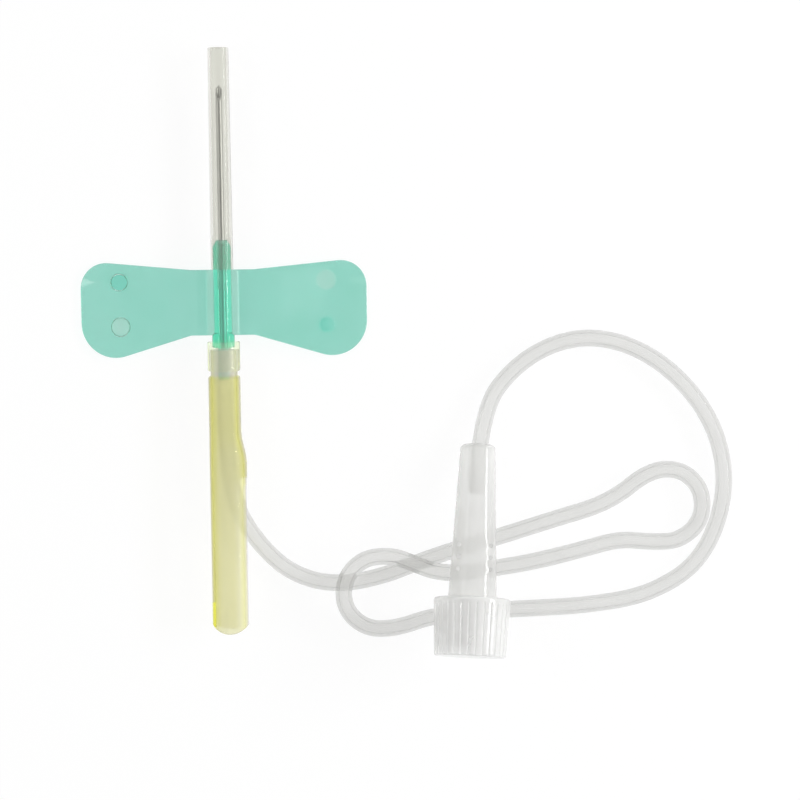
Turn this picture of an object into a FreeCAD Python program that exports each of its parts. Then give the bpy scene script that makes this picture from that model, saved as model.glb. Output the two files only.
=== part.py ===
import FreeCAD, Part
import math
import os

import Sketcher

# Winged safety needle set, lying at rest on a table, in millimetres.
# +X to the right wing, +Y towards the needle tip, +Z up, Z = 0 is the table.
# The needle axis runs along Y at X = 0, and Y = 0 is half way along the
# sheathed needle and shield.

V = FreeCAD.Vector

# Driving sizes: alias, value, meaning
SIZES = [
    ("overall_length", 73.6, "sheath tip to shield rear end"),
    ("needle_radius", 0.41, "21 gauge tube outside"),
    ("needle_bore_radius", 0.255, "21 gauge tube inside"),
    ("needle_length", 32.8, "whole steel tube"),
    ("bevel_length", 2.2, "main ground face"),
    ("lancet_length", 1.1, "side ground faces"),
    ("lancet_angle", 38, "turn of the side faces about the tube"),
    ("needle_fit", 0.02, "radial room round the needle in the hub"),
    ("hub_radius", 1.15, "hub barrel"),
    ("hub_flange_radius", 1.42, "wider rear of the hub"),
    ("hub_flange_length", 1.5, ""),
    ("hub_shoulder", 0.25, "taper between flange and barrel"),
    ("hub_nose_length", 0.8, "taper at the front"),
    ("hub_nose_radius", 0.68, ""),
    ("hub_length", 17.6, "spigot end to nose"),
    ("hub_station", 32.1, "spigot end forward of the shield rear end"),
    ("spigot_radius", 0.72, "barb that the tube is pushed over"),
    ("spigot_length", 4.1, ""),
    ("glue_well_radius", 0.54, "well round the needle in the nose"),
    ("glue_well_depth", 6.3, ""),
    ("flow_radius", 0.3, "passage behind the needle"),
    ("needle_set_back", 0.1, "needle rear end forward of the flange rear face"),
    ("film_thickness", 0.2, "flexible strip between hub and wing"),
    ("hinge_offset", 3.05, "fold line from the needle axis"),
    ("hinge_gap", 0.15, "plate and strip each end this far from the fold line"),
    ("wing_station", 1.3, "rearmost wing corner forward of the spigot end"),
    ("wing_length", 15.15, "fold line to outer edge"),
    ("wing_chord", 13.85, "outer edge before its corners are rounded"),
    ("wing_root_chord", 8.25, "at the hub"),
    ("wing_root_setback", 4.33, "root's rear edge forward of the rear corner"),
    ("wing_root_flat", 0.95, "straight part next to the fold line"),
    ("wing_thickness", 0.5, ""),
    ("wing_front_corner", 3.3, "corner radius"),
    ("wing_rear_corner", 4.4, "corner radius"),
    ("wing_waist_radius", 2.0, "soft bend where the taper begins"),
    ("wing_edge_radius", 0.12, ""),
    ("stud_reach", 10.05, "stud and dimple from the fold line"),
    ("stud_front", 11.1, "front one forward of the rear corner"),
    ("stud_rear", 5.45, "rear one forward of the rear corner"),
    ("stud_radius", 1.0, ""),
    ("stud_height", 0.35, ""),
    ("dimple_radius", 1.25, ""),
    ("dimple_depth", 0.25, ""),
    ("sheath_length", 27.6, ""),
    ("sheath_front_radius", 1.3, ""),
    ("sheath_rear_radius", 1.4, ""),
    ("sheath_bore_radius", 1.0, ""),
    ("sheath_engagement", 3.7, "how far it is pushed over the hub"),
    ("sheath_funnel", 0.5, "taper from the socket to the bore"),
    ("sheath_tip_rounding", 0.14, ""),
    ("slip_fit", 0.03, "radial room in pushed-together joints"),
    ("bond_fit", 0.01, "radial room in glued joints"),
    ("shield_fit", 0.1, "radial room between shield and hub flange"),
    ("sleeve_length", 32.6, "wide and narrow part of the shield"),
    ("neck_length", 3.3, ""),
    ("neck_wall", 0.2, ""),
    ("sleeve_front_radius", 2.03, ""),
    ("sleeve_rear_radius", 2.35, ""),
    ("sleeve_rear_wall", 0.45, ""),
    ("sleeve_offset", 0.3, "rear part's axis is moved to the right"),
    ("step_start", 21.6, "where the wide part ends"),
    ("step_length", 3.9, "length of the curved step"),
    ("sleeve_shoulder", 0.3, ""),
    ("sleeve_end_arc", 3.1, "radius of the rounded rear end seen from above"),
    ("wing_slot_height", 0.84, ""),
    ("wing_slot_start", 3.8, "closed end forward of the rear end"),
    ("tube_slot_width", 2.9, ""),
    ("tube_slot_length", 19.65, "from the rear end forward"),
    ("tube_slot_angle", 22, "below level, on the right"),
    ("collar_length", 3.7, ""),
    ("collar_gap", 0.6, "neck left bare behind the collar"),
    ("collar_radius", 2.05, ""),
    ("collar_rear_rounding", 0.28, ""),
    ("collar_front_rounding", 0.1, ""),
    ("tube_radius", 1.05, "flexible tube outside"),
    ("tube_depth", 6.2, "tube inside the connector"),
    ("nose_x", 31.9, "connector's narrow end on the table plan"),
    ("nose_y", -13.4, ""),
    ("connector_heading", 3.2, "turn of the connector from straight back"),
    ("connector_tilt", 13.5, "rise of the connector towards its cap"),
    ("connector_length", 25.4, ""),
    ("connector_nose_radius", 2.2, ""),
    ("connector_nose_rounding", 0.6, ""),
    ("connector_body_radius", 3.05, ""),
    ("connector_taper_length", 19.5, ""),
    ("web_passage_radius", 0.7, "between tube and chamber"),
    ("chamber_start", 8.3, "from the narrow end"),
    ("port_mouth_radius", 2.15, "six percent female cone"),
    ("port_cone_length", 7.5, ""),
    ("port_cone_rise", 0.225, "radius lost over the cone"),
    ("lug_radius", 3.85, ""),
    ("lug_length", 1.0, ""),
    ("lug_flat", 3.06, "sides of the lug ring are cut here"),
    ("grip_dot_radius", 0.28, ""),
    ("grip_dot_side", 2.0, "from the connector's axis"),
    ("grip_dot_first", 12.9, "from the narrow end"),
    ("grip_dot_pitch", 1.5, ""),
    ("grip_dot_base", 1.25, "height where the dots start, inside the wall"),
    ("grip_dot_top", 2.25, ""),
    ("cap_station", 19.4, "cap rim from the connector's narrow end"),
    ("cap_length", 7.3, ""),
    ("cap_rim_radius", 4.85, ""),
    ("cap_end_radius", 4.53, ""),
    ("cap_rim_length", 0.7, "smooth ring before the ribs"),
    ("cap_rim_chamfer", 0.3, ""),
    ("cap_floor", 0.8, ""),
    ("cap_bore_radius", 4.02, ""),
    ("cap_rib_depth", 0.16, ""),
    ("cap_rib_count", 32, ""),
    ("plug_length", 6.2, ""),
    ("plug_fit", 0.04, "radial room in the female cone"),
]

# Sizes that follow from the driving ones
DERIVED = [
    ("axis_height", "=sleeve_rear_radius"),
    ("shield_back", "=-overall_length / 2"),
    ("hub_back", "=shield_back + hub_station"),
    ("flange_front", "=spigot_length + hub_flange_length"),
    ("barrel_start", "=flange_front + hub_shoulder"),
    ("barrel_end", "=hub_length - hub_nose_length"),
    ("needle_seat_radius", "=needle_radius + needle_fit"),
    ("needle_stop", "=spigot_length + needle_set_back"),
    ("well_bottom", "=hub_length - glue_well_depth"),
    ("film_reach", "=hinge_offset - hinge_gap"),
    ("film_rear", "=wing_station + wing_root_setback"),
    ("film_front", "=film_rear + wing_root_chord"),
    ("wing_back", "=hub_back + wing_station"),
    ("wing_root_front", "=wing_root_setback + wing_root_chord"),
    ("sheath_back", "=hub_back + hub_length - sheath_engagement"),
    ("sheath_socket_radius", "=hub_radius + slip_fit"),
    ("sheath_funnel_end", "=sheath_engagement + sheath_funnel"),
    ("shield_bore_radius", "=hub_flange_radius + shield_fit"),
    ("neck_radius", "=shield_bore_radius + neck_wall"),
    ("shield_length", "=sleeve_length + neck_length"),
    ("step_end", "=step_start + step_length"),
    ("shield_rear_bore_radius", "=sleeve_rear_radius - sleeve_rear_wall"),
    ("collar_back", "=shield_back + sleeve_length + collar_gap"),
    ("collar_bore_radius", "=neck_radius + bond_fit"),
    ("tube_socket_radius", "=tube_radius + slip_fit"),
    ("spigot_socket_radius", "=spigot_radius + bond_fit"),
    ("lug_start", "=connector_length - lug_length"),
    ("cone_start", "=connector_length - port_cone_length"),
    ("chamber_radius", "=port_mouth_radius - port_cone_rise"),
    ("cap_bore_end", "=cap_length - cap_floor"),
    ("plug_tip", "=cap_bore_end - plug_length"),
    ("cone_slope", "=port_cone_rise / port_cone_length"),
    ("plug_tip_inset", "=connector_length - cap_station - plug_tip"),
    ("plug_base_inset", "=connector_length - cap_station - cap_bore_end"),
    ("plug_tip_radius", "=port_mouth_radius - plug_fit - cone_slope * plug_tip_inset"),
    ("plug_base_radius", "=port_mouth_radius - plug_fit - cone_slope * plug_base_inset"),
]

# Route of the tube: X, Y, Z between the shield and the connector, first inside
# the shield, then over the table in two open loops; the middle stretch climbs
# over the first strand.
TUBE_ROUTE = [
    (0.32, -17.0, 2.22), (1.62, -22.2, 1.69), (4.43, -26.4, 1.05), (7.93, -29.61, 1.05),
    (12.97, -31.2, 1.05), (19.06, -30.53, 1.05), (25.94, -27.72, 1.05), (33.57, -25.55, 1.05),
    (41.45, -23.13, 1.05), (49.09, -20.33, 1.05), (53.05, -17.34, 1.05), (57.22, -18.04, 1.05),
    (59.58, -21.49, 1.05), (58.63, -25.53, 1.05), (55.06, -27.63, 1.05), (50.77, -26.68, 1.05),
    (44.93, -27.48, 1.05), (38.97, -28.66, 1.05), (33.76, -29.35, 1.05), (29.83, -29.93, 1.5),
    (26.04, -29.49, 3.05), (22.64, -28.3, 3.45), (18.73, -27.36, 3.4), (15.16, -29.21, 3.4),
    (13.83, -32.99, 3.3), (15.43, -36.56, 1.7), (19.08, -38.13, 1.05), (23.28, -36.67, 1.05),
    (30.65, -35.0, 1.05), (38.25, -34.54, 1.05), (46.1, -34.21, 1.05), (53.72, -32.93, 1.05),
    (60.36, -28.72, 1.05), (63.52, -20.28, 1.05), (62.37, -12.03, 1.05), (57.66, -5.13, 1.05),
    (51.14, -0.73, 1.05), (44.06, 0.26, 1.05), (37.05, -2.94, 1.05),
]
# Straight run behind the flange, the share of each run that its arcs take, the
# sections of the curved step, how far a cut runs past what it cuts, and the
# room allowed when an edge is looked up by its place.
FIRST_RUN = 7.7
ARC_SHARE = 0.45
STEP_SECTIONS = 4
OVERRUN = 0.05
TOUCH = 1e-4
# One rib and one groove: each corner's share of the pitch, and whether it is in the groove.
RIB_PROFILE = [(-0.3, 0), (0.3, 0), (0.42, 1), (0.58, 1)]

doc = FreeCAD.newDocument("winged_needle")
sheet = doc.addObject("Spreadsheet::Sheet", "sizes")
for row, (alias, value, meaning) in enumerate(SIZES, start=1):
    sheet.set("A%d" % row, alias)
    sheet.set("B%d" % row, str(value))
    sheet.setAlias("B%d" % row, alias)
    sheet.set("C%d" % row, meaning)
for row, (alias, formula) in enumerate(DERIVED, start=len(SIZES) + 2):
    sheet.set("A%d" % row, alias)
    sheet.set("B%d" % row, formula)
    sheet.setAlias("B%d" % row, alias)
doc.recompute()


def size(alias):
    """Value of one named size, where an empty name stands for nought."""
    return float(getattr(sheet, alias)) if alias else 0.0


def new_body(name):
    body = doc.addObject("PartDesign::Body", name)
    body.Label = name
    return body


def new_sketch(body, name, plane="XY_Plane", shift=(0, 0, 0), turn=0):
    """Sketch on one of the body's own planes, moved along and turned about its first axis."""
    sketch = body.newObject("Sketcher::SketchObject", name)
    origin = [f for f in body.Origin.OriginFeatures if f.Role == plane][0]
    sketch.AttachmentSupport = [(origin, "")]
    sketch.MapMode = "FlatFace"
    sketch.AttachmentOffset = FreeCAD.Placement(V(*shift), FreeCAD.Rotation(V(1, 0, 0), turn))
    return sketch


def pin_point(sketch, geometry, end, across, up):
    """Hold one point of a sketch at two named sizes."""
    for kind, alias, axis in (("DistanceX", across, -2), ("DistanceY", up, -1)):
        if not alias:
            sketch.addConstraint(Sketcher.Constraint("PointOnObject", geometry, end, axis))
            continue
        index = sketch.addConstraint(
            Sketcher.Constraint(kind, -1, 1, geometry, end, size(alias)))
        sketch.setExpression("Constraints[%d]" % index, "sizes." + alias)


def add_outline(sketch, corners):
    """Closed outline through corners given as pairs of named sizes."""
    spots = [V(size(across), size(up), 0) for across, up in corners]
    count = len(spots)
    lines = [sketch.addGeometry(Part.LineSegment(spots[i], spots[(i + 1) % count]))
             for i in range(count)]
    for i in range(count):
        sketch.addConstraint(Sketcher.Constraint(
            "Coincident", lines[i - 1], 2, lines[i], 1))
        pin_point(sketch, lines[i], 1, corners[i][0], corners[i][1])


def add_circle(sketch, radius, across="", up=""):
    circle = sketch.addGeometry(Part.Circle(V(size(across), size(up), 0), V(0, 0, 1), size(radius)))
    if across or up:
        pin_point(sketch, circle, 3, across, up)
    else:
        sketch.addConstraint(Sketcher.Constraint("Coincident", circle, 3, -1, 1))
    index = sketch.addConstraint(Sketcher.Constraint("Radius", circle, size(radius)))
    sketch.setExpression("Constraints[%d]" % index, "sizes." + radius)


def finish(body, feature, cuts):
    """Recompute and make sure that the feature changed the solid the right way."""
    before = feature.BaseFeature.Shape.Volume if feature.BaseFeature else 0.0
    doc.recompute()
    change = feature.Shape.Volume - before
    if (change >= 0) if cuts else (change <= 0):
        raise ValueError("%s does nothing in %s" % (feature.Name, body.Label))
    return feature


def revolve(body, name, corners, cuts=False):
    """Turn an outline about the body's Y axis, to add or to cut."""
    sketch = new_sketch(body, name + "_outline")
    add_outline(sketch, corners)
    feature = body.newObject("PartDesign::" + ("Groove" if cuts else "Revolution"), name)
    feature.Profile = sketch
    feature.ReferenceAxis = (sketch, ["V_Axis"])
    feature.Angle = 360
    return finish(body, feature, cuts)


def pad(body, name, sketch, length, both_ways=False):
    feature = body.newObject("PartDesign::Pad", name)
    feature.Profile = sketch
    feature.SideType = "Symmetric" if both_ways else "One side"
    feature.setExpression("Length", "sizes." + length)
    return finish(body, feature, False)


def pocket_through(body, name, sketch, one_way=False):
    """Cut right through, both ways, or only the way that the sketch faces."""
    feature = body.newObject("PartDesign::Pocket", name)
    feature.Profile = sketch
    feature.Type = "ThroughAll"
    if one_way:
        feature.Reversed = True
    else:
        feature.SideType = "Symmetric"
    return finish(body, feature, True)


def round_edges(body, name, radius, wanted):
    """Fillet the edges of the body's last feature that the test picks."""
    base = body.Tip
    picked = ["Edge%d" % n for n, edge in enumerate(base.Shape.Edges, start=1) if wanted(edge)]
    if not picked:
        raise ValueError("no edge for %s" % name)
    feature = body.newObject("PartDesign::Fillet", name)
    feature.Base = (base, picked)
    feature.setExpression("Radius", "sizes." + radius)
    doc.recompute()
    return feature


def is_ring(edge, radius, station):
    """True for a circular edge of this radius round the Y axis at this station."""
    curve = edge.Curve
    return (isinstance(curve, Part.Circle) and abs(curve.Radius - radius) < TOUCH
            and abs(curve.Center.y - station) < TOUCH and abs(abs(curve.Axis.y) - 1) < TOUCH)


def is_upright(edge, x, y):
    """True for a straight edge along Z at this place."""
    if len(edge.Vertexes) != 2:
        return False
    a, b = (vertex.Point for vertex in edge.Vertexes)
    level = V(x, y, 0)
    return max((V(p.x, p.y, 0) - level).Length for p in (a, b)) < TOUCH and abs(a.z - b.z) > TOUCH


def place_on_axis(body, station):
    """Put a body on the needle axis, its own origin at a named station along Y."""
    body.setExpression("Placement.Base.y", "sizes." + station)
    body.setExpression("Placement.Base.z", "sizes.axis_height")


def make_needle():
    body = new_body("needle")
    revolve(body, "cannula", [
        ("needle_bore_radius", ""), ("needle_radius", ""),
        ("needle_radius", "needle_length"), ("needle_bore_radius", "needle_length")])
    tip, radius = size("needle_length"), size("needle_radius")
    clear = 2 * radius
    turned = size("lancet_angle")
    grinds = [("bevel", "bevel_length", 0), ("left_lancet", "lancet_length", -turned),
              ("right_lancet", "lancet_length", turned)]
    for name, length, turn in grinds:
        face = new_sketch(body, name + "_face", "YZ_Plane", turn=turn)
        slope = size(length) / (2 * radius)
        corners = [V(tip, -radius, 0), V(tip + clear, -radius, 0), V(tip + clear, clear, 0),
                   V(tip - slope * (clear + radius), clear, 0)]
        for i in range(4):
            face.addGeometry(Part.LineSegment(corners[i], corners[(i + 1) % 4]))
        pocket_through(body, name, face)
    body.setExpression("Placement.Base.y", "sizes.hub_back + sizes.needle_stop")
    body.setExpression("Placement.Base.z", "sizes.axis_height")
    return body


def make_hub():
    """Barrel with a nose and a rear spigot, and the thin strips that carry the wings."""
    body = new_body("wing_hub")
    revolve(body, "barrel", [
        ("", ""), ("spigot_radius", ""), ("spigot_radius", "spigot_length"),
        ("hub_flange_radius", "spigot_length"), ("hub_flange_radius", "flange_front"),
        ("hub_radius", "barrel_start"), ("hub_radius", "barrel_end"),
        ("hub_nose_radius", "hub_length"), ("", "hub_length")])
    for name, sign in (("right_strip", 1), ("left_strip", -1)):
        strip = new_sketch(body, name + "_outline")
        reach, rear, front = size("film_reach"), size("film_rear"), size("film_front")
        corners = [V(0, rear, 0), V(sign * reach, rear, 0), V(sign * reach, front, 0), V(0, front, 0)]
        for i in range(4):
            strip.addGeometry(Part.LineSegment(corners[i], corners[(i + 1) % 4]))
        pad(body, name, strip, "film_thickness", both_ways=True)
    revolve(body, "passage", [
        ("", ""), ("flow_radius", ""), ("flow_radius", "needle_stop"),
        ("needle_seat_radius", "needle_stop"), ("needle_seat_radius", "well_bottom"),
        ("glue_well_radius", "well_bottom"), ("glue_well_radius", "hub_length"),
        ("", "hub_length")], cuts=True)
    place_on_axis(body, "hub_back")
    return body


def make_wing(name, on_left):
    """One wing plate, drawn flat from its fold line and drooped to the table.

    The left wing is the same plate turned over, with its stud on the other face.
    """
    body = new_body(name)
    plate = new_sketch(body, "plate_outline")
    add_outline(plate, [
        ("hinge_gap", "wing_root_setback"), ("wing_root_flat", "wing_root_setback"),
        ("wing_length", ""), ("wing_length", "wing_chord"),
        ("wing_root_flat", "wing_root_front"), ("hinge_gap", "wing_root_front")])
    pad(body, "plate", plate, "wing_thickness", both_ways=True)
    length, chord = size("wing_length"), size("wing_chord")
    flat, back, front = size("wing_root_flat"), size("wing_root_setback"), size("wing_root_front")
    round_edges(body, "front_corner", "wing_front_corner", lambda e: is_upright(e, length, chord))
    round_edges(body, "rear_corner", "wing_rear_corner", lambda e: is_upright(e, length, 0))
    round_edges(body, "waist", "wing_waist_radius",
                lambda e: is_upright(e, flat, back) or is_upright(e, flat, front))
    half = size("wing_thickness") / 2
    outer = size("hinge_gap") + TOUCH
    round_edges(body, "rim", "wing_edge_radius",
                lambda e: (abs(abs(e.CenterOfMass.z) - half) < TOUCH
                           and max(v.X for v in e.Vertexes) > outer))
    face = -1 if on_left else 1
    stud_at, dimple_at = ("stud_front", "stud_rear") if on_left else ("stud_rear", "stud_front")
    stud = new_sketch(body, "stud_outline")
    add_circle(stud, "stud_radius", "stud_reach", stud_at)
    knob = body.newObject("PartDesign::Pad", "stud")
    knob.Profile = stud
    knob.Reversed = on_left
    knob.setExpression("Length", "sizes.wing_thickness / 2 + sizes.stud_height")
    finish(body, knob, False)
    hollow = new_sketch(body, "dimple_outline", shift=(0, 0, face * half))
    add_circle(hollow, "dimple_radius", "stud_reach", dimple_at)
    dimple = body.newObject("PartDesign::Pocket", "dimple")
    dimple.Profile = hollow
    dimple.Reversed = on_left
    dimple.setExpression("Length", "sizes.dimple_depth")
    finish(body, dimple, True)
    droop = wing_droop()
    turn = 180 - droop if on_left else droop
    side = -1 if on_left else 1
    body.Placement = FreeCAD.Placement(
        V(side * size("hinge_offset"), size("wing_back"), size("axis_height")),
        FreeCAD.Rotation(V(0, 1, 0), turn))
    return body


def wing_droop():
    """Angle below level at which the outer edge's lower corner meets the table."""
    length, half = size("wing_length"), size("wing_thickness") / 2
    return math.degrees(math.asin(size("axis_height") / math.hypot(length, half))
                        - math.atan2(half, length))


def make_sheath():
    body = new_body("needle_sheath")
    revolve(body, "wall", [
        ("sheath_socket_radius", ""), ("sheath_rear_radius", ""),
        ("sheath_front_radius", "sheath_length"), ("sheath_bore_radius", "sheath_length"),
        ("sheath_bore_radius", "sheath_funnel_end"), ("sheath_socket_radius", "sheath_engagement")])
    front, radius = size("sheath_length"), size("sheath_front_radius")
    round_edges(body, "tip", "sheath_tip_rounding", lambda e: is_ring(e, radius, front))
    place_on_axis(body, "sheath_back")
    return body


def step_loft(body, name, rear_radius, front_radius, cuts):
    """Curved step from the offset rear circle to the front circle on the axis."""
    sections = []
    for n in range(STEP_SECTIONS + 1):
        share = n / STEP_SECTIONS
        blend = 3 * share ** 2 - 2 * share ** 3
        station = size("step_start") + share * size("step_length")
        section = new_sketch(body, "%s_section_%d" % (name, n), "XZ_Plane", shift=(0, 0, -station))
        centre = V(size("sleeve_offset") * (1 - blend), 0, 0)
        radius = rear_radius + (front_radius - rear_radius) * blend
        section.addGeometry(Part.Circle(centre, V(0, 0, 1), radius))
        sections.append(section)
    kind = "SubtractiveLoft" if cuts else "AdditiveLoft"
    feature = body.newObject("PartDesign::" + kind, name)
    feature.Profile = sections[0]
    feature.Sections = sections[1:]
    feature.Ruled = True
    return finish(body, feature, cuts)


def rear_round(body, name, radius, cuts):
    """Straight round length of the offset rear part, added or cut out."""
    section = new_sketch(body, name + "_section", "XZ_Plane")
    add_circle(section, radius, "sleeve_offset", "")
    feature = body.newObject("PartDesign::" + ("Pocket" if cuts else "Pad"), name)
    feature.Profile = section
    feature.Reversed = not cuts
    feature.setExpression("Length", "sizes.step_start")
    return finish(body, feature, cuts)


def make_shield():
    """Sliding sleeve: narrow neck, stepped barrel, a slot for each wing and one for the tube."""
    body = new_body("safety_shield")
    rear_round(body, "rear_barrel", "sleeve_rear_radius", False)
    step_loft(body, "step", size("sleeve_rear_radius"), size("sleeve_front_radius"), False)
    revolve(body, "front_barrel", [
        ("", "step_end"), ("sleeve_front_radius", "step_end"),
        ("sleeve_front_radius", "sleeve_length"), ("neck_radius", "sleeve_length"),
        ("neck_radius", "shield_length"), ("", "shield_length")])
    radius, station = size("sleeve_front_radius"), size("sleeve_length")
    round_edges(body, "shoulder", "sleeve_shoulder", lambda e: is_ring(e, radius, station))
    rear_round(body, "rear_bore", "shield_rear_bore_radius", True)
    step_loft(body, "step_bore", size("shield_rear_bore_radius"), size("shield_bore_radius"), True)
    revolve(body, "front_bore", [
        ("", "step_end"), ("shield_bore_radius", "step_end"),
        ("shield_bore_radius", "shield_length"), ("", "shield_length")], cuts=True)
    cut_wing_slots(body)
    cut_tube_slot(body)
    round_rear_end(body)
    place_on_axis(body, "shield_back")
    return body


def cut_wing_slots(body):
    """One level slot through both sides, open at the front."""
    slots = new_sketch(body, "wing_slots_outline", "YZ_Plane")
    rear, front = size("wing_slot_start"), size("shield_length") + size("sleeve_front_radius")
    half = size("wing_slot_height") / 2
    corners = [V(rear, -half, 0), V(front, -half, 0), V(front, half, 0), V(rear, half, 0)]
    for i in range(4):
        slots.addGeometry(Part.LineSegment(corners[i], corners[(i + 1) % 4]))
    pocket_through(body, "wing_slots", slots)


def cut_tube_slot(body):
    """Slot on the lower right, open at the rear, with a round front end."""
    slot = new_sketch(body, "tube_slot_outline", "YZ_Plane", turn=size("tube_slot_angle"))
    half = size("tube_slot_width") / 2
    front = size("tube_slot_length") - half
    slot.addGeometry(Part.LineSegment(V(front, half, 0), V(-half, half, 0)))
    slot.addGeometry(Part.LineSegment(V(-half, half, 0), V(-half, -half, 0)))
    slot.addGeometry(Part.LineSegment(V(-half, -half, 0), V(front, -half, 0)))
    slot.addGeometry(Part.Arc(V(front, -half, 0), V(front + half, 0, 0), V(front, half, 0)))
    pocket_through(body, "tube_slot", slot, one_way=True)


def round_rear_end(body):
    """Trim the rear end to an arc seen from above."""
    trim = new_sketch(body, "rear_end_outline")
    arc, offset = size("sleeve_end_arc"), size("sleeve_offset")
    edge = size("sleeve_rear_radius") + OVERRUN
    rise = arc - math.sqrt(arc ** 2 - edge ** 2)
    left, right = V(offset - edge, rise, 0), V(offset + edge, rise, 0)
    low_left, low_right = V(left.x, -edge, 0), V(right.x, -edge, 0)
    trim.addGeometry(Part.Arc(left, V(offset, 0, 0), right))
    trim.addGeometry(Part.LineSegment(right, low_right))
    trim.addGeometry(Part.LineSegment(low_right, low_left))
    trim.addGeometry(Part.LineSegment(low_left, left))
    pocket_through(body, "rear_end", trim)


def make_collar():
    """Clear grip on the shield's neck, in two halves because the wings pass between them."""
    outer = doc.addObject("Part::Cylinder", "collar_outer")
    outer.setExpression("Radius", "sizes.collar_radius")
    outer.setExpression("Height", "sizes.collar_length")
    doc.recompute()
    rounded = doc.addObject("Part::Fillet", "collar_rounded")
    rounded.Base = outer
    edges = []
    for n, edge in enumerate(outer.Shape.Edges, start=1):
        if isinstance(edge.Curve, Part.Circle):
            at_rear = edge.Curve.Center.z < TOUCH
            radius = size("collar_rear_rounding" if at_rear else "collar_front_rounding")
            edges.append((n, radius, radius))
    rounded.Edges = edges
    bore = doc.addObject("Part::Cylinder", "collar_bore")
    bore.setExpression("Radius", "sizes.collar_bore_radius")
    bore.setExpression("Height", "sizes.collar_length")
    ring = doc.addObject("Part::Cut", "collar_ring")
    ring.Base = rounded
    ring.Tool = bore
    gap = doc.addObject("Part::Box", "collar_gap_box")
    gap.setExpression("Length", "2 * sizes.collar_radius")
    gap.setExpression("Width", "sizes.wing_slot_height")
    gap.setExpression("Height", "sizes.collar_length")
    gap.setExpression("Placement.Base.x", "-sizes.collar_radius")
    gap.setExpression("Placement.Base.y", "-sizes.wing_slot_height / 2")
    collar = doc.addObject("Part::Cut", "shield_collar")
    collar.Label = "shield_collar"
    collar.Base = ring
    collar.Tool = gap
    collar.Placement = FreeCAD.Placement(
        V(0, size("collar_back"), size("axis_height")), FreeCAD.Rotation(V(1, 0, 0), -90))
    doc.recompute()
    return collar


def connector_pose():
    """Placement of the connector: its own Y runs from the narrow end to the cap."""
    tilt = math.radians(size("connector_tilt"))
    rounding = size("connector_nose_rounding")
    flat = size("connector_nose_radius") - rounding
    height = rounding * (1 - math.sin(tilt)) + flat * math.cos(tilt)
    turn = FreeCAD.Rotation(V(0, 0, 1), 180 - size("connector_heading"))
    rise = FreeCAD.Rotation(V(1, 0, 0), size("connector_tilt"))
    return FreeCAD.Placement(V(size("nose_x"), size("nose_y"), height), turn * rise)


def make_connector():
    """Tapered grip with a female cone and two locking lugs at its wide end."""
    body = new_body("luer_connector")
    revolve(body, "grip", [
        ("", ""), ("connector_nose_radius", ""),
        ("connector_body_radius", "connector_taper_length"), ("connector_body_radius", "lug_start"),
        ("lug_radius", "lug_start"), ("lug_radius", "connector_length"), ("", "connector_length")])
    flats = new_sketch(body, "lug_flats_outline")
    inner, outer = size("lug_flat"), size("lug_radius") + size("lug_length")
    rear, front = size("lug_start"), size("connector_length") + size("lug_length")
    for side in (-1, 1):
        corners = [V(side * inner, rear, 0), V(side * outer, rear, 0),
                   V(side * outer, front, 0), V(side * inner, front, 0)]
        for i in range(4):
            flats.addGeometry(Part.LineSegment(corners[i], corners[(i + 1) % 4]))
    pocket_through(body, "lug_flats", flats)
    dots = new_sketch(body, "grip_dots_outline", shift=(0, 0, size("grip_dot_base")))
    for side in (-1, 1):
        for n in range(3):
            spot = V(side * size("grip_dot_side"), size("grip_dot_first") + n * size("grip_dot_pitch"), 0)
            dots.addGeometry(Part.Circle(spot, V(0, 0, 1), size("grip_dot_radius")))
    knobs = body.newObject("PartDesign::Pad", "grip_dots")
    knobs.Profile = dots
    knobs.setExpression("Length", "sizes.grip_dot_top - sizes.grip_dot_base")
    finish(body, knobs, False)
    radius = size("connector_nose_radius")
    round_edges(body, "nose", "connector_nose_rounding", lambda e: is_ring(e, radius, 0))
    revolve(body, "bores", [
        ("", ""), ("tube_socket_radius", ""), ("tube_socket_radius", "tube_depth"),
        ("web_passage_radius", "tube_depth"), ("web_passage_radius", "chamber_start"),
        ("chamber_radius", "chamber_start"), ("chamber_radius", "cone_start"),
        ("port_mouth_radius", "connector_length"), ("", "connector_length")], cuts=True)
    body.Placement = connector_pose()
    return body


def rib_ring(body, name, radius, station):
    """Outline of the ribbed wall: flat-topped ribs with narrower grooves between them."""
    sketch = new_sketch(body, name, "XZ_Plane", shift=(0, 0, -station))
    count = int(size("cap_rib_count"))
    depth = size("cap_rib_depth")
    spots = []
    for n in range(count):
        for share, grooved in RIB_PROFILE:
            angle = 2 * math.pi * (n + share) / count
            level = radius - grooved * depth
            spots.append(V(level * math.cos(angle), level * math.sin(angle), 0))
    for i, spot in enumerate(spots):
        sketch.addGeometry(Part.LineSegment(spot, spots[(i + 1) % len(spots)]))
    return sketch


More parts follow.
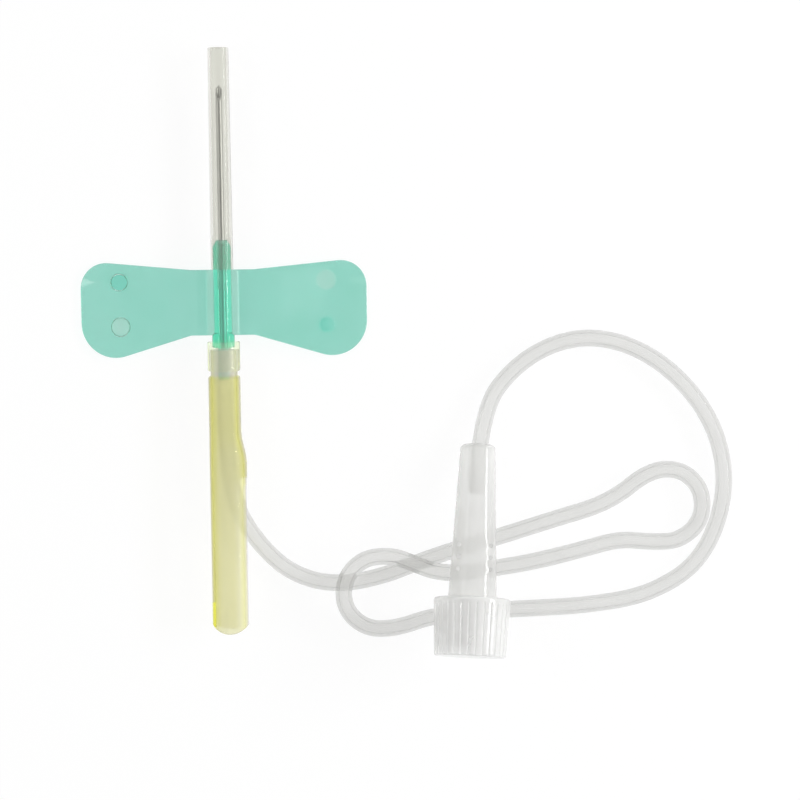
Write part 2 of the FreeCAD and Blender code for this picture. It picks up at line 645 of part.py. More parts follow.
def make_cap():
    """Ribbed screw cap with a sealing cone inside."""
    body = new_body("luer_cap")
    slope = (size("cap_rim_radius") - size("cap_end_radius")) / size("cap_length")
    start, end = size("cap_rim_length"), size("cap_length")
    first = rib_ring(body, "ribs_front", size("cap_rim_radius") - slope * start, start)
    last = rib_ring(body, "ribs_rear", size("cap_end_radius"), end)
    ribs = body.newObject("PartDesign::AdditiveLoft", "ribbed_wall")
    ribs.Profile = first
    ribs.Sections = [last]
    ribs.Ruled = True
    finish(body, ribs, False)
    rim = new_sketch(body, "rim_outline", "XZ_Plane")
    add_circle(rim, "cap_rim_radius")
    band = body.newObject("PartDesign::Pad", "rim")
    band.Profile = rim
    band.Reversed = True
    band.setExpression("Length", "sizes.cap_rim_length")
    finish(body, band, False)
    radius = size("cap_rim_radius")
    round_edges(body, "rim_rounding", "cap_rim_chamfer", lambda e: is_ring(e, radius, 0))
    revolve(body, "bore", [
        ("", ""), ("cap_bore_radius", ""), ("cap_bore_radius", "cap_bore_end"),
        ("", "cap_bore_end")], cuts=True)
    revolve(body, "plug", [
        ("", "plug_tip"), ("plug_tip_radius", "plug_tip"),
        ("plug_base_radius", "cap_bore_end"), ("", "cap_bore_end")])
    pose = connector_pose()
    along = pose.Rotation.multVec(V(0, size("cap_station"), 0))
    body.Placement = FreeCAD.Placement(pose.Base + along, pose.Rotation)
    return body


def tube_points():
    """Route from the hub's flange to the stop inside the connector."""
    height = size("axis_height")
    start = size("hub_back") + size("spigot_length")
    pose = connector_pose()
    along = pose.Rotation.multVec(V(0, 1, 0))
    lead = (pose.Base.z - size("tube_radius")) / along.z
    points = [V(0, start, height), V(0, start - FIRST_RUN, height)]
    points += [V(*point) for point in TUBE_ROUTE]
    points += [pose.Base - along * lead, pose.Base + along * size("tube_depth")]
    return points


def tube_path(points):
    """Straight runs joined by tangent arcs, with the arcs' radii."""
    edges, radii, here = [], [], points[0]
    for before, corner, after in zip(points, points[1:], points[2:]):
        back, ahead = before - corner, after - corner
        cut = ARC_SHARE * min(back.Length, ahead.Length)
        half_turn = (math.pi - back.getAngle(ahead)) / 2
        back.normalize()
        ahead.normalize()
        radius = cut / math.tan(half_turn)
        start, end = corner + back * cut, corner + ahead * cut
        inward = (back + ahead).normalize()
        middle = corner + inward * (radius / math.cos(half_turn) - radius)
        edges.append(Part.LineSegment(here, start).toShape())
        edges.append(Part.Arc(start, middle, end).toShape())
        radii.append(radius)
        here = end
    edges.append(Part.LineSegment(here, points[-1]).toShape())
    return Part.Wire(edges), radii


def make_tube():
    """Flexible tube, pushed over the hub's spigot at one end and glued into the connector."""
    points = tube_points()
    path, radii = tube_path(points)
    radius = size("tube_radius")
    ring = Part.Wire(Part.Circle(points[0], V(0, -1, 0), radius).toShape())
    solid = path.makePipeShell([ring], True, False)
    expected = math.pi * radius ** 2 * path.Length
    print("tube length %.1f mm, volume %.1f of %.1f mm3" % (path.Length, solid.Volume, expected))
    print("tube radii", [round(r, 1) for r in radii])
    if abs(solid.Volume / expected - 1) > 0.01:
        raise ValueError("the tube's volume is not its section times its length")
    socket = Part.makeCylinder(size("spigot_socket_radius"), size("spigot_length"),
                               points[0], V(0, -1, 0))
    tube = doc.addObject("Part::Feature", "tubing")
    tube.Label = "tubing"
    tube.Shape = solid.cut(socket)
    tube.Placement = FreeCAD.Placement()
    return tube


parts = [make_needle(), make_hub(), make_wing("left_wing", True), make_wing("right_wing", False),
         make_sheath(), make_shield(), make_collar(), make_connector(), make_cap(), make_tube()]
doc.recompute()

for thing in doc.Objects:
    if "Invalid" in thing.State or "Error" in thing.State:
        raise ValueError("%s failed: %s" % (thing.Name, thing.State))
for part in parts:
    if part.Shape.isNull() or not part.Shape.isValid():
        raise ValueError("%s has no valid shape" % part.Label)

os.makedirs("parts", exist_ok=True)
for part in parts:
    part.Shape.exportStep("parts/%s.step" % part.Label)
    box = part.Shape.BoundBox
    print("%-15s solids %d volume %8.2f  X %.2f..%.2f Y %.2f..%.2f Z %.2f..%.2f" % (
        part.Label, len(part.Shape.Solids), part.Shape.Volume,
        box.XMin, box.XMax, box.YMin, box.YMax, box.ZMin, box.ZMax))
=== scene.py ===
import math

import bmesh
import bpy
from mathutils import Matrix, Vector


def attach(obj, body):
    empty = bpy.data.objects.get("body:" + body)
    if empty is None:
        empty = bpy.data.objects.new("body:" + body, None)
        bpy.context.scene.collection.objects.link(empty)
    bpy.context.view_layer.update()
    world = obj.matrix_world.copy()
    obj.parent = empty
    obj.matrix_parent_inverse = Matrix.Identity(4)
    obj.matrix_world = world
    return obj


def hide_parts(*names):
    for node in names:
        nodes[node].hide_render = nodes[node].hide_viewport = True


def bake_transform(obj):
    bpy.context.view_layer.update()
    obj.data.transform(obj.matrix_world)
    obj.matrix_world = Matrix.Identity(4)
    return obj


# Winged safety needle set lying on a table, seen from above. Lengths are typed in
# millimetres and multiplied by MM, because the scene is in metres.
MM = 0.001

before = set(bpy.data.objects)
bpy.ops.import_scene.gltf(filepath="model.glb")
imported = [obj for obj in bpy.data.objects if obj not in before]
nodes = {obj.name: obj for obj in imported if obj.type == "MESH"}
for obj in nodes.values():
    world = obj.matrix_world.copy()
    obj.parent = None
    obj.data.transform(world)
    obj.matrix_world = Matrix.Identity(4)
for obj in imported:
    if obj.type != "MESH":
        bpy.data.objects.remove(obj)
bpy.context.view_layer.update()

# ---------------------------------------------------------------- camera
# The photograph is taken from near above, a little towards the needle's side, and leans a little.
VIEW_CENTRE = (22.104, -7.581, 2.0)
VIEW_DISTANCE = 300.0
VIEW_TILT = math.radians(5)
VIEW_LEAN = -0.013245
LENS, SENSOR = 106.92, 36.0

camera_data = bpy.data.cameras.new("camera")
camera_data.lens = LENS
camera_data.sensor_width = SENSOR
camera_data.clip_start = 0.01
camera = bpy.data.objects.new("camera", camera_data)
eye = Vector((VIEW_CENTRE[0], VIEW_CENTRE[1] + VIEW_DISTANCE * math.sin(VIEW_TILT),
              VIEW_CENTRE[2] + VIEW_DISTANCE * math.cos(VIEW_TILT)))
camera.matrix_world = (Matrix.Translation(eye * MM) @ Matrix.Rotation(-VIEW_TILT, 4, "X")
                       @ Matrix.Rotation(VIEW_LEAN, 4, "Z"))
bpy.context.collection.objects.link(camera)
bpy.context.scene.camera = camera

# ---------------------------------------------------------------- sizes shared with the part
# The needle's axis lies along Y at this height, and the wings fold beside it and droop at rest.
AXIS_HEIGHT = 2.35
HUB_BACK = -4.7
HINGE_X = 3.05
DROOP = math.radians(7.98)
# The tube's bore is wider over the hub's spigot, for the length that is pushed on.
TUBE_RADIUS = 1.05
LUMEN_RADIUS = 0.6
SOCKET_RADIUS = 0.73
SOCKET_LENGTH = 5.2
# The middle of the connector's narrow end, and the direction from there to the cap.
NOSE = Vector((31.9, -13.4, 2.0157))
ALONG = Vector((-0.05428, -0.97085, 0.23345))
CAP_STATION = 19.4

# The tube's route, from the hub's flange to its stop in the connector
TUBE_ROUTE = [
    (0.0, -0.6, 2.35), (0.0, -8.3, 2.35), (0.32, -17.0, 2.22), (1.62, -22.2, 1.69),
    (4.43, -26.4, 1.05), (7.93, -29.61, 1.05), (12.97, -31.2, 1.05), (19.06, -30.41, 1.05),
    (25.94, -27.72, 1.05), (33.57, -25.55, 1.05), (41.45, -23.13, 1.05), (48.57, -21.08, 1.05),
    (53.69, -16.97, 1.05), (57.74, -16.9, 1.05), (60.37, -19.6, 1.05), (60.31, -23.53, 1.05),
    (57.49, -26.14, 1.05), (53.69, -26.22, 1.05), (49.77, -25.78, 1.05), (44.94, -27.1, 1.05),
    (38.97, -28.54, 1.05), (33.76, -29.35, 1.05), (29.83, -29.93, 1.4), (26.17, -29.37, 3.0),
    (23.53, -28.19, 3.45), (20.76, -27.14, 3.45), (17.08, -27.46, 3.45), (14.63, -30.22, 3.45),
    (14.7, -34.14, 2.6), (17.45, -36.97, 1.05), (21.38, -36.9, 1.05), (25.57, -35.44, 1.05),
    (31.91, -34.77, 1.05), (38.88, -34.55, 1.05), (46.1, -34.21, 1.05), (53.72, -32.93, 1.05),
    (60.36, -28.72, 1.05), (63.52, -20.28, 1.05), (62.37, -12.03, 1.05), (57.66, -5.13, 1.05),
    (51.14, -0.73, 1.05), (44.06, 0.26, 1.05), (37.05, -2.94, 1.05), (32.12, -9.38, 1.05),
    (31.56, -19.42, 3.46),
]


# ---------------------------------------------------------------- meshes
CRISP = math.radians(32)
TUBE_SIDES = 32


def to_object(name, mesh, sharp=CRISP):
    """Mesh object with smooth shading and crisp edges."""
    for face in mesh.faces:
        face.smooth = True
    for edge in mesh.edges:
        edge.smooth = len(edge.link_faces) == 2 and edge.calc_face_angle(math.pi) < sharp
    data = bpy.data.meshes.new(name)
    mesh.to_mesh(data)
    mesh.free()
    thing = bpy.data.objects.new(name, data)
    bpy.context.collection.objects.link(thing)
    return thing


def join_rings(mesh, rings, slot=0):
    """Faces from each ring of points to the next one, all in one material slot."""
    for one, two in zip(rings, rings[1:]):
        for n in range(len(one)):
            m = (n + 1) % len(one)
            mesh.faces.new((one[n], one[m], two[m], two[n])).material_index = slot


def route_points():
    """Points along the route's smooth spline, read from a curve with no thickness."""
    curve = bpy.data.curves.new("route", "CURVE")
    curve.dimensions = "3D"
    curve.resolution_u = 14
    spline = curve.splines.new("NURBS")
    spline.points.add(len(TUBE_ROUTE) - 1)
    for point, (x, y, z) in zip(spline.points, TUBE_ROUTE):
        point.co = (x * MM, y * MM, z * MM, 1)
    spline.order_u = 3
    spline.use_endpoint_u = True
    line = bpy.data.objects.new("route", curve)
    mesh = bpy.data.meshes.new_from_object(line)
    points = [v.co.copy() for v in mesh.vertices]
    bpy.data.meshes.remove(mesh)
    bpy.data.objects.remove(line)
    bpy.data.curves.remove(curve)
    return points


def hollow_tube(name, points):
    """Closed mesh of the tube along the points, its bore wider where it is pushed over the spigot."""
    mesh = bmesh.new()
    outer, inner = [], []
    normal = Vector((0, 0, 1))
    run = 0.0
    last = len(points) - 1
    for i, point in enumerate(points):
        tangent = (points[min(i + 1, last)] - points[max(i - 1, 0)]).normalized()
        normal = (normal - tangent * normal.dot(tangent)).normalized()
        across = tangent.cross(normal)
        run += (point - points[max(i - 1, 0)]).length
        bore = SOCKET_RADIUS if run < SOCKET_LENGTH * MM else LUMEN_RADIUS
        for rings, radius in ((outer, TUBE_RADIUS), (inner, bore)):
            ring = []
            for n in range(TUBE_SIDES):
                angle = 2 * math.pi * n / TUBE_SIDES
                ray = normal * math.cos(angle) + across * math.sin(angle)
                ring.append(mesh.verts.new(point + ray * (radius * MM)))
            rings.append(ring)
    join_rings(mesh, outer + inner[::-1] + outer[:1])
    bmesh.ops.recalc_face_normals(mesh, faces=mesh.faces)
    return to_object(name, mesh)


def lathe(name, profile, segments=64):
    """Closed surface of revolution about the needle axis, from a closed outline of (radius, Y)."""
    mesh = bmesh.new()
    rings = []
    for radius, y in profile:
        ring = []
        for n in range(segments):
            angle = 2 * math.pi * n / segments
            ring.append(mesh.verts.new((radius * math.cos(angle) * MM, y * MM,
                                        (AXIS_HEIGHT + radius * math.sin(angle)) * MM)))
        rings.append(ring)
    join_rings(mesh, rings + rings[:1])
    bmesh.ops.recalc_face_normals(mesh, faces=mesh.faces)
    return to_object(name, mesh)


# ---------------------------------------------------------------- materials
NOISE_DETAIL = 3.0
# Cloudiness of moulded plastic in patches per metre; its waves are WAVES times finer.
CLOUDS = 350.0
WAVES = 3
WAVE_HEIGHT = 0.004
ROUGHNESS_SPAN = (0.9, 1.1)
COAT_ROUGHNESS = 0.07
# The share of a clear piece's shadow that its window lets through as tinted light.
SHADOW_LIGHT = 0.85


def new_material(name):
    material = bpy.data.materials.new(name)
    material.use_nodes = True
    tree = material.node_tree
    tree.nodes.clear()
    output = tree.nodes.new("ShaderNodeOutputMaterial")
    return material, tree, output


def add_node(tree, kind, **values):
    node = tree.nodes.new(kind)
    for key, value in values.items():
        setattr(node, key, value)
    return node


def stretched(tree, coords, scale):
    """Coordinates times a scale for each axis."""
    node = add_node(tree, "ShaderNodeMapping")
    node.inputs["Scale"].default_value = scale
    tree.links.new(coords, node.inputs["Vector"])
    return node.outputs["Vector"]


def noise(tree, coords, scale):
    node = add_node(tree, "ShaderNodeTexNoise")
    node.inputs["Scale"].default_value = scale
    node.inputs["Detail"].default_value = NOISE_DETAIL
    tree.links.new(coords, node.inputs["Vector"])
    return node.outputs["Fac"]


def spread(tree, value, low, high, start=0.3, end=0.7):
    """A value, noise unless start and end say otherwise, turned into one between low and high."""
    node = add_node(tree, "ShaderNodeMapRange")
    node.inputs["From Min"].default_value = start
    node.inputs["From Max"].default_value = end
    node.inputs["To Min"].default_value = low
    node.inputs["To Max"].default_value = high
    tree.links.new(value, node.inputs["Value"])
    return node.outputs["Result"]


def blend_colours(tree, factor, first, second):
    node = add_node(tree, "ShaderNodeMix", data_type="RGBA")
    node.inputs["A"].default_value = (*first, 1)
    node.inputs["B"].default_value = (*second, 1)
    tree.links.new(factor, next(s for s in node.inputs if s.name == "Factor" and s.type == "VALUE"))
    return next(s for s in node.outputs if s.type == "RGBA")


def roughen(tree, shader, height, strength, depth):
    """Bump on a shader, its depth in millimetres."""
    relief = add_node(tree, "ShaderNodeBump")
    relief.inputs["Strength"].default_value = strength
    relief.inputs["Distance"].default_value = depth * MM
    tree.links.new(height, relief.inputs["Height"])
    tree.links.new(relief.outputs["Normal"], shader.inputs["Normal"])


def switch_shaders(tree, output, rays, share, usual, special):
    """Surface that shows its usual shader, and a share of the special one to some rays."""
    factor = add_node(tree, "ShaderNodeMath", operation="MULTIPLY")
    factor.inputs[1].default_value = share
    tree.links.new(rays, factor.inputs[0])
    mix = add_node(tree, "ShaderNodeMixShader")
    for socket, source in zip(mix.inputs, (factor, usual, special)):
        tree.links.new(source.outputs[0], socket)
    tree.links.new(mix.outputs[0], output.inputs["Surface"])


def plastic(name, light, dark, clear, rough, absorb=None, density=0.0, index=1.46, coat=0.5,
            wave=0.1, stretch=(1, 1, 1), fade=None, bore=None):
    """See-through moulded plastic: cloudy tint, slight waves and, where dyed through, absorption.

    With fade, the tint goes from light to dark between two stations along Y instead. With bore, the
    faces marked as the piece's bore are that clear, because one wall needs one absorbing material.
    """
    material, tree, output = new_material(name)
    place = add_node(tree, "ShaderNodeTexCoord").outputs["Object"]
    coords = stretched(tree, place, stretch)
    shader = add_node(tree, "ShaderNodeBsdfPrincipled")
    shader.inputs["IOR"].default_value = index
    shader.inputs["Transmission Weight"].default_value = clear
    if bore is not None:
        mark = add_node(tree, "ShaderNodeAttribute", attribute_name="bore").outputs["Fac"]
        tree.links.new(spread(tree, mark, clear, bore, 0, 1), shader.inputs["Transmission Weight"])
    shader.inputs["Coat Weight"].default_value = coat
    shader.inputs["Coat Roughness"].default_value = COAT_ROUGHNESS
    mottling = noise(tree, coords, CLOUDS)
    if fade:
        split = add_node(tree, "ShaderNodeSeparateXYZ")
        tree.links.new(place, split.inputs[0])
        tint = spread(tree, split.outputs["Y"], 0, 1, fade[0] * MM, fade[1] * MM)
    else:
        tint = spread(tree, mottling, 0, 1)
    tree.links.new(blend_colours(tree, tint, light, dark), shader.inputs["Base Color"])
    smoother, rougher = (rough * span for span in ROUGHNESS_SPAN)
    tree.links.new(spread(tree, mottling, smoother, rougher), shader.inputs["Roughness"])
    roughen(tree, shader, noise(tree, coords, CLOUDS * WAVES), wave, WAVE_HEIGHT)
    window = add_node(tree, "ShaderNodeBsdfTransparent")
    window.inputs["Color"].default_value = (*[c ** 0.5 for c in light], 1)
    shadow_rays = add_node(tree, "ShaderNodeLightPath").outputs["Is Shadow Ray"]
    switch_shaders(tree, output, shadow_rays, SHADOW_LIGHT, shader, window)
    if absorb:
        dye = add_node(tree, "ShaderNodeVolumeAbsorption")
        dye.inputs["Color"].default_value = (*absorb, 1)
        dye.inputs["Density"].default_value = density
        tree.links.new(dye.outputs[0], output.inputs["Volume"])
    return material


def steel(name, light, dark, rings=9000.0, wear=500.0, stretch=(1, 0.12, 1), depth=0.005):
    """Drawn steel with faint rings from grinding."""
    material, tree, output = new_material(name)
    coords = add_node(tree, "ShaderNodeTexCoord").outputs["Object"]
    shader = add_node(tree, "ShaderNodeBsdfPrincipled")
    shader.inputs["Metallic"].default_value = 1.0
    lines = noise(tree, stretched(tree, coords, stretch), rings)
    worn = spread(tree, noise(tree, coords, wear), 0, 1)
    tree.links.new(blend_colours(tree, worn, light, dark), shader.inputs["Base Color"])
    tree.links.new(spread(tree, lines, 0.28, 0.36), shader.inputs["Roughness"])
    roughen(tree, shader, lines, 0.05, depth)
    tree.links.new(shader.outputs[0], output.inputs["Surface"])
    return material


def dress(thing, material):
    """Give a mesh one material in all its slots."""
    if not thing.material_slots:
        thing.data.materials.append(material)
    for entry in thing.material_slots:
        entry.material = material


green_wing = plastic("green_wing", (0.64, 0.80, 0.73), (0.60, 0.78, 0.70), 0.86, 0.18,
                     coat=0.3, absorb=(0.13, 0.90, 0.83), density=1500)
green_hub = plastic("green_hub", (0.80, 0.93, 0.88), (0.76, 0.91, 0.86), 0.88, 0.08,
                    index=1.2, coat=0.3, absorb=(0.27, 0.93, 0.82), density=1500)
yellow = plastic("yellow", (0.87, 0.86, 1.0), (0.85, 0.84, 0.98), 0.96, 0.20, bore=0.65,
                 index=1.04, coat=0.05, stretch=(1, 0.4, 1), absorb=(0.97, 0.97, 0.02), density=980)
frosted = plastic("frosted", (0.84, 0.84, 0.80), (0.82, 0.82, 0.78), 0.95, 0.06,
                  index=1.12, wave=0.0, coat=0.15, stretch=(1, 0.25, 1))
collar_clear = plastic("collar_clear", (0.99, 1.0, 0.95), (0.98, 0.99, 0.93), 0.94, 0.20,
                       index=1.10, coat=0.15, wave=0.03, absorb=(0.93, 0.98, 0.65), density=400)
connector_clear = plastic("connector_clear", (0.94, 0.94, 0.93), (0.84, 0.84, 0.83), 0.60, 0.20,
                          index=1.08, coat=0.4, wave=0.0, fade=(-15, -22))
connector_bore = plastic("connector_bore", (0.985, 0.985, 0.975), (0.975, 0.975, 0.965),
                         0.90, 0.12, index=1.08, coat=0.0, wave=0.0)
cap_clear = plastic("cap_clear", (0.98, 0.98, 0.975), (0.97, 0.97, 0.965), 0.52, 0.25,
                    index=1.07, coat=0.8, wave=0.0)
cap_bore = plastic("cap_bore", (0.97, 0.97, 0.965), (0.96, 0.96, 0.955), 0.80, 0.25,
                   index=1.06, coat=0.0, wave=0.0)
tube_clear = plastic("tube_clear", (0.955, 0.955, 0.95), (0.945, 0.945, 0.94), 0.88, 0.22,
                     index=1.06, coat=0.1, wave=0.0, absorb=(0.5, 0.5, 0.48), density=340)
glue_clear = plastic("glue_clear", (0.94, 0.97, 0.94), (0.92, 0.95, 0.92), 0.95, 0.05, index=1.15)
bright_steel = steel("bright_steel", (0.60, 0.60, 0.59), (0.55, 0.55, 0.54))

# ---------------------------------------------------------------- tube
tube_line = route_points()
tube = hollow_tube("flexible_tube", tube_line)
dress(tube, tube_clear)
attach(tube, "set")
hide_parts("tubing")

# ---------------------------------------------------------------- hub
# Closed outlines of radius and length from the hub's back: the spigot, the flange, the barrel, its
# nose and the glue well, and the bead of glue round the needle in that well.
HUB_PROFILE = [
    (0.30, 0.0), (0.60, 0.0), (0.66, 0.05), (0.72, 0.35), (0.72, 4.1),
    (1.34, 4.1), (1.42, 4.18), (1.42, 5.55), (1.38, 5.65), (1.17, 5.83), (1.15, 5.9),
    (1.15, 16.7), (1.13, 16.82), (0.72, 17.52), (0.66, 17.6),
    (0.58, 17.6), (0.54, 17.54), (0.54, 11.35), (0.50, 11.3), (0.43, 11.3), (0.43, 4.2), (0.30, 4.2)]
GLUE_PROFILE = [
    (0.415, 11.32), (0.535, 11.32), (0.535, 17.1), (0.50, 16.9), (0.45, 16.85), (0.415, 17.0)]

hub = lathe("hub_barrel", [(r, y + HUB_BACK) for r, y in HUB_PROFILE])
dress(hub, green_hub)
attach(hub, "set")
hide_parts("wing_hub")

glue = lathe("needle_glue", [(r, y + HUB_BACK) for r, y in GLUE_PROFILE], 48)
dress(glue, glue_clear)
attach(glue, "set")

# ---------------------------------------------------------------- wings
# Stations of the flexible strip, inwards from the fold line, and its share of the full thickness
STRIP = [(0.0, 1), (-0.15, 1), (-0.3, 1), (-0.45, 1), (-0.6, 1), (-0.75, 1), (-0.92, 1),
         (-1.0, 0.95), (-1.12, 0.66), (-1.2, 0.55), (-1.5, 0.53), (-2.0, 0.53)]
# Stations where the plate is cut across beside the fold line
BEND_CUTS = (0.3, 0.45, 0.6, 0.75, 0.9, 1.1)
# From here outwards the plate droops at rest; the strip stays level
DROOP_START = 0.1
# Places of the stud and the dimple, out from the fold line and along the needle
KNOBS = [(10.05, 7.7), (10.05, 2.05)]
# A knob's edges lie within KNOB_REACH of its middle, and are sharper than KNOB_ANGLE. They are
# those above the height of the plate's face, round the stud's top, and those on the face that are
# also outside MOUTH_REACH, round the dimple's mouth.
KNOB_REACH = 1.4
KNOB_ANGLE = math.radians(60)
STUD_HEIGHT = 0.5
MOUTH_REACH = 1.2
FACE_HEIGHT = 0.24
KNOB_ROUNDING = 0.14


def is_knob_edge(edge):
    """True for the sharp edge round a stud's top or a dimple's mouth."""
    if len(edge.link_faces) != 2 or edge.calc_face_angle() < KNOB_ANGLE:
        return False
    for out, along in KNOBS:
        reach = min(math.hypot(v.co.x - out, v.co.y - along) for v in edge.verts)
        height = min(abs(v.co.z) for v in edge.verts)
        if reach < KNOB_REACH and (height > STUD_HEIGHT
                                   or (reach > MOUTH_REACH and height > FACE_HEIGHT)):
            return True
    return False


def wing_skin(name, node, side):
    """The wing plate carried on in one piece over the fold line to the hub, thin at the root."""
    mesh = bmesh.new()
    mesh.from_mesh(nodes[node].data)
    bmesh.ops.remove_doubles(mesh, verts=mesh.verts, dist=1e-6)
    # Laid flat in millimetres, X outwards from the fold line
    cos, sin = math.cos(DROOP), math.sin(DROOP)
    for v in mesh.verts:
        out, up = side * v.co.x / MM - HINGE_X, v.co.z / MM - AXIS_HEIGHT
        v.co = Vector((out * cos - up * sin, v.co.y / MM, out * sin + up * cos))
    soft = [e for e in mesh.edges if is_knob_edge(e)]
    bmesh.ops.bevel(mesh, geom=soft, offset=KNOB_ROUNDING, segments=3, profile=0.5, affect="EDGES")
    for cut in BEND_CUTS:
        everything = mesh.verts[:] + mesh.edges[:] + mesh.faces[:]
        bmesh.ops.bisect_plane(mesh, geom=everything, dist=1e-6, plane_co=(cut, 0, 0),
                               plane_no=(1, 0, 0))
    # The plate's end at the fold line is opened and drawn inwards
    root = min(v.co.x for v in mesh.verts) + 1e-3
    end = [f for f in mesh.faces if all(v.co.x < root for v in f.verts)]
    bmesh.ops.delete(mesh, geom=end, context="FACES_ONLY")
    rim = [e for e in mesh.edges if len(e.link_faces) == 1]
    last_share = 1
    for reach, share in STRIP:
        made = bmesh.ops.extrude_edge_only(mesh, edges=rim)["geom"]
        rim = [g for g in made if isinstance(g, bmesh.types.BMEdge) and len(g.link_faces) == 1]
        for v in (g for g in made if isinstance(g, bmesh.types.BMVert)):
            v.co = Vector((reach, v.co.y, v.co.z * share / last_share))
        last_share = share
    bmesh.ops.contextual_create(mesh, geom=rim)
    for v in mesh.verts:
        out, up = v.co.x, v.co.z
        if out > DROOP_START:
            out, up = out * cos + up * sin, up * cos - out * sin
        v.co = Vector((side * (HINGE_X + out) * MM, v.co.y * MM, (AXIS_HEIGHT + up) * MM))
    bmesh.ops.recalc_face_normals(mesh, faces=mesh.faces)
    skin = to_object(name, mesh)
    dress(skin, green_wing)
    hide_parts(node)
    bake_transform(skin)


wing_skin("left_wing_skin", "left_wing", -1)
wing_skin("right_wing_skin", "right_wing", 1)

# ---------------------------------------------------------------- the other CAD nodes
for name, material in (("needle", bright_steel), ("needle_sheath", frosted),
                       ("safety_shield", yellow), ("shield_collar", collar_clear),
                       ("luer_connector", connector_clear)):
    dress(nodes[name], material)

# The connector's bores are dressed apart from its outside. All their faces lie within BORE_REACH of
# its axis; at the narrow end, up to END_STATION, only those within SOCKET_REACH are bore.
BORE_REACH = 2.16
END_STATION = 0.7
SOCKET_REACH = 1.2
connector = nodes["luer_connector"].data
connector.materials.append(connector_bore)
for face in connector.polygons:
    middle = Vector(face.center) / MM - NOSE
    station = middle.dot(ALONG)
    reach = (middle - ALONG * station).length
    if reach < BORE_REACH and (station > END_STATION or reach < SOCKET_REACH):
        face.material_index = len(connector.materials) - 1

# The shield's bore is marked, as it is milkier than its outside. The shield's axis is at SHIELD_X
# where Y is 0, and goes to the right by SHIELD_LEAN for each millimetre back.
SHIELD_X, SHIELD_Z = 0.18, 2.6
SHIELD_LEAN = 0.0288
shield = nodes["safety_shield"].data
marks = shield.attributes.new("bore", "FLOAT", "FACE")
for face, mark in zip(shield.polygons, marks.data):
    middle = Vector(face.center) / MM
    outward = Vector((middle.x - SHIELD_X + SHIELD_LEAN * middle.y, 0, middle.z - SHIELD_Z))
    mark.value = 1.0 if face.normal.dot(outward) < 0 else 0.0

# ---------------------------------------------------------------- cap
CAP_RIBS = 32
RIB_DEPTH = 0.12
# Places across one rib, as shares of its pitch, and how far each lies below the top
RIB = [(-0.34, 0.2), (-0.17, 0.05), (0, 0), (0.17, 0.05), (0.34, 0.2), (0.42, 1), (0.58, 1)]
CAP_MOUTH = NOSE + ALONG * CAP_STATION
ACROSS = Vector((1, 0, 0)).cross(ALONG).normalized()
SIDE = ALONG.cross(ACROSS).normalized()
# From the plug's tip over the bore and the lip to the end: radius, station, share of the rib depth
CAP_PROFILE = [
    (1.85, 0.3, 0), (1.94, 0.4, 0), (2.12, 6.4, 0), (2.22, 6.5, 0), (3.92, 6.5, 0), (4.02, 6.4, 0),
    (4.02, 0.25, 0), (4.12, 0.06, 0), (4.25, 0.0, 0), (4.55, 0.0, 0), (4.72, 0.06, 0),
    (4.82, 0.2, 0), (4.85, 0.4, 0), (4.84, 0.7, 0), (4.83, 0.85, 0.7), (4.82, 1.0, 1),
    (4.68, 4.0, 1), (4.54, 7.0, 1), (4.52, 7.12, 0.9), (4.46, 7.22, 0.6), (4.36, 7.28, 0.2),
    (4.24, 7.3, 0)]
# The last row of the profile that is inside the cap
LIP_ROW = 7

# The thread is a helix from THREAD_STATION, with its foot sunk in the bore's wall
THREAD_TURNS = 1.25
THREAD_STEPS = 48
THREAD_STATION = 1.3
THREAD_LEAD = 3.6
THREAD_FOOT = 4.03
THREAD_HEIGHT, THREAD_LEAST = 0.12, 0.005
THREAD_FOOT_HALF, THREAD_CREST_HALF = 0.28, 0.1
RUN_OUT_STEPS = 6
THREAD_START = 0.4


def cap_skin(name):
    """The cap in one closed mesh, with a rounded lip and domed ribs; its inside is dressed apart."""
    mesh = bmesh.new()
    rows = []
    for radius, station, share in CAP_PROFILE:
        row = []
        for n in range(CAP_RIBS * len(RIB)):
            offset, depth = RIB[n % len(RIB)]
            angle = 2 * math.pi * (n // len(RIB) + offset) / CAP_RIBS
            level = radius - share * RIB_DEPTH * depth
            ray = ACROSS * math.cos(angle) + SIDE * math.sin(angle)
            row.append(mesh.verts.new((CAP_MOUTH + ALONG * station + ray * level) * MM))
        rows.append(row)
    join_rings(mesh, rows[:LIP_ROW + 1], 1)
    join_rings(mesh, rows[LIP_ROW:])
    mesh.faces.new(rows[0]).material_index = 1
    mesh.faces.new(rows[-1])
    bmesh.ops.recalc_face_normals(mesh, faces=mesh.faces)
    cap = to_object(name, mesh)
    cap.data.materials.append(cap_clear)
    cap.data.materials.append(cap_bore)
    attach(cap, "cap")
    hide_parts("luer_cap")
    return cap


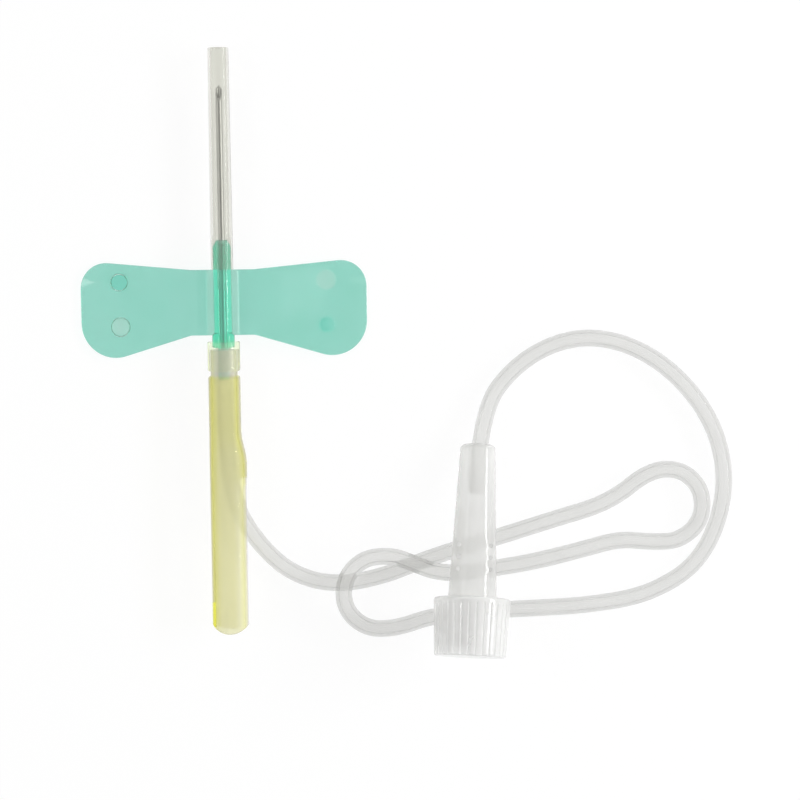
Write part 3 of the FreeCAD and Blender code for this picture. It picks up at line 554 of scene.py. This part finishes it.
def cap_thread(name, start):
    """One start of the thread inside the cap: a low ridge along a helix on the bore."""
    mesh = bmesh.new()
    rows = []
    steps = int(THREAD_TURNS * THREAD_STEPS)
    for n in range(steps + 1):
        angle = start + 2 * math.pi * n / THREAD_STEPS
        station = THREAD_STATION + THREAD_LEAD * n / THREAD_STEPS
        grown = (min(1.0, n / RUN_OUT_STEPS, (steps - n) / RUN_OUT_STEPS) * THREAD_HEIGHT
                 + THREAD_LEAST)
        crest = THREAD_FOOT - grown
        ray = ACROSS * math.cos(angle) + SIDE * math.sin(angle)
        row = []
        for step, level in ((-THREAD_FOOT_HALF, THREAD_FOOT), (-THREAD_CREST_HALF, crest),
                            (THREAD_CREST_HALF, crest), (THREAD_FOOT_HALF, THREAD_FOOT)):
            spot = CAP_MOUTH + ALONG * (station + step) + ray * level
            row.append(mesh.verts.new(spot * MM))
        rows.append(row)
    join_rings(mesh, rows)
    mesh.faces.new(rows[0])
    mesh.faces.new(rows[-1])
    bmesh.ops.recalc_face_normals(mesh, faces=mesh.faces)
    thread = to_object(name, mesh, math.radians(50))
    dress(thread, cap_bore)
    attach(thread, "cap")


cap = cap_skin("ribbed_cap")
cap_thread("cap_thread_a", THREAD_START)
cap_thread("cap_thread_b", THREAD_START + math.pi)

# ---------------------------------------------------------------- floor, world and lamps
# Gloss and glass see a white room with a dark patch overhead, where the camera is. The patch begins
# and is full at these heights on the unit sphere round the scene.
PATCH_HEIGHTS = (0.90, 0.985)
ROOM_LEVEL, PATCH_LEVEL = 1.0, 0.1
# What the world lights the scene with
LIGHT_LEVEL = 0.55
FLOOR_SIZE, FLOOR_Z = 6, -0.00002
FLOOR_GREY = 0.9
FLOOR_GLOW, FLOOR_GLOW_SHARE = 1.05, 0.85
LAMP_AIM = (0.02, -0.008, 0)


def clear_rays(tree):
    """1 for rays from the camera, off gloss or through glass, 0 for the light on the scene."""
    path = add_node(tree, "ShaderNodeLightPath")
    total = path.outputs["Is Camera Ray"]
    for other in ("Is Glossy Ray", "Is Transmission Ray"):
        both = add_node(tree, "ShaderNodeMath", operation="MAXIMUM")
        tree.links.new(total, both.inputs[0])
        tree.links.new(path.outputs[other], both.inputs[1])
        total = both.outputs[0]
    return total


def pale_floor():
    """Matt floor that also glows where it is seen, and keeps a part of the shadows."""
    material, tree, output = new_material("pale_floor")
    matt = add_node(tree, "ShaderNodeBsdfDiffuse")
    matt.inputs["Color"].default_value = (FLOOR_GREY, FLOOR_GREY, FLOOR_GREY, 1)
    glow = add_node(tree, "ShaderNodeEmission")
    glow.inputs["Strength"].default_value = FLOOR_GLOW
    switch_shaders(tree, output, clear_rays(tree), FLOOR_GLOW_SHARE, matt, glow)
    return material


def white_room():
    """World that is white to the camera, gloss and glass, dark overhead, and dimmer as a light."""
    world = bpy.data.worlds.new("world")
    world.use_nodes = True
    tree = world.node_tree
    tree.nodes.clear()
    background = add_node(tree, "ShaderNodeBackground")
    split = add_node(tree, "ShaderNodeSeparateXYZ")
    tree.links.new(add_node(tree, "ShaderNodeTexCoord").outputs["Generated"], split.inputs[0])
    seen = spread(tree, split.outputs["Z"], ROOM_LEVEL, PATCH_LEVEL, *PATCH_HEIGHTS)
    seen.node.interpolation_type = "SMOOTHSTEP"
    level = add_node(tree, "ShaderNodeMapRange")
    level.inputs["To Min"].default_value = LIGHT_LEVEL
    tree.links.new(clear_rays(tree), level.inputs["Value"])
    tree.links.new(seen, level.inputs["To Max"])
    tree.links.new(level.outputs["Result"], background.inputs["Strength"])
    output = add_node(tree, "ShaderNodeOutputWorld")
    tree.links.new(background.outputs[0], output.inputs["Surface"])
    return world


def lamp(name, place, size, power):
    """Soft lamp that faces the set, its second size along the needle, unseen through clear pieces."""
    data = bpy.data.lights.new(name, "AREA")
    data.shape = "RECTANGLE"
    data.size, data.size_y = size
    data.energy = power
    thing = bpy.data.objects.new(name, data)
    thing.location = place
    aim = Vector(LAMP_AIM) - Vector(place)
    thing.rotation_euler = aim.to_track_quat("-Z", "X").to_euler()
    bpy.context.collection.objects.link(thing)
    thing.visible_transmission = False


bpy.ops.mesh.primitive_plane_add(size=FLOOR_SIZE, location=(0, 0, FLOOR_Z))
floor = bpy.context.object
floor.name = "floor"
dress(floor, pale_floor())

bpy.context.scene.world = white_room()
lamp("key", (0.50, 0.05, 0.23), (0.09, 0.36), 1.8)
lamp("fill", (-0.42, 0.05, 0.36), (0.16, 0.40), 0.6)

bpy.context.scene.view_settings.view_transform = "Standard"
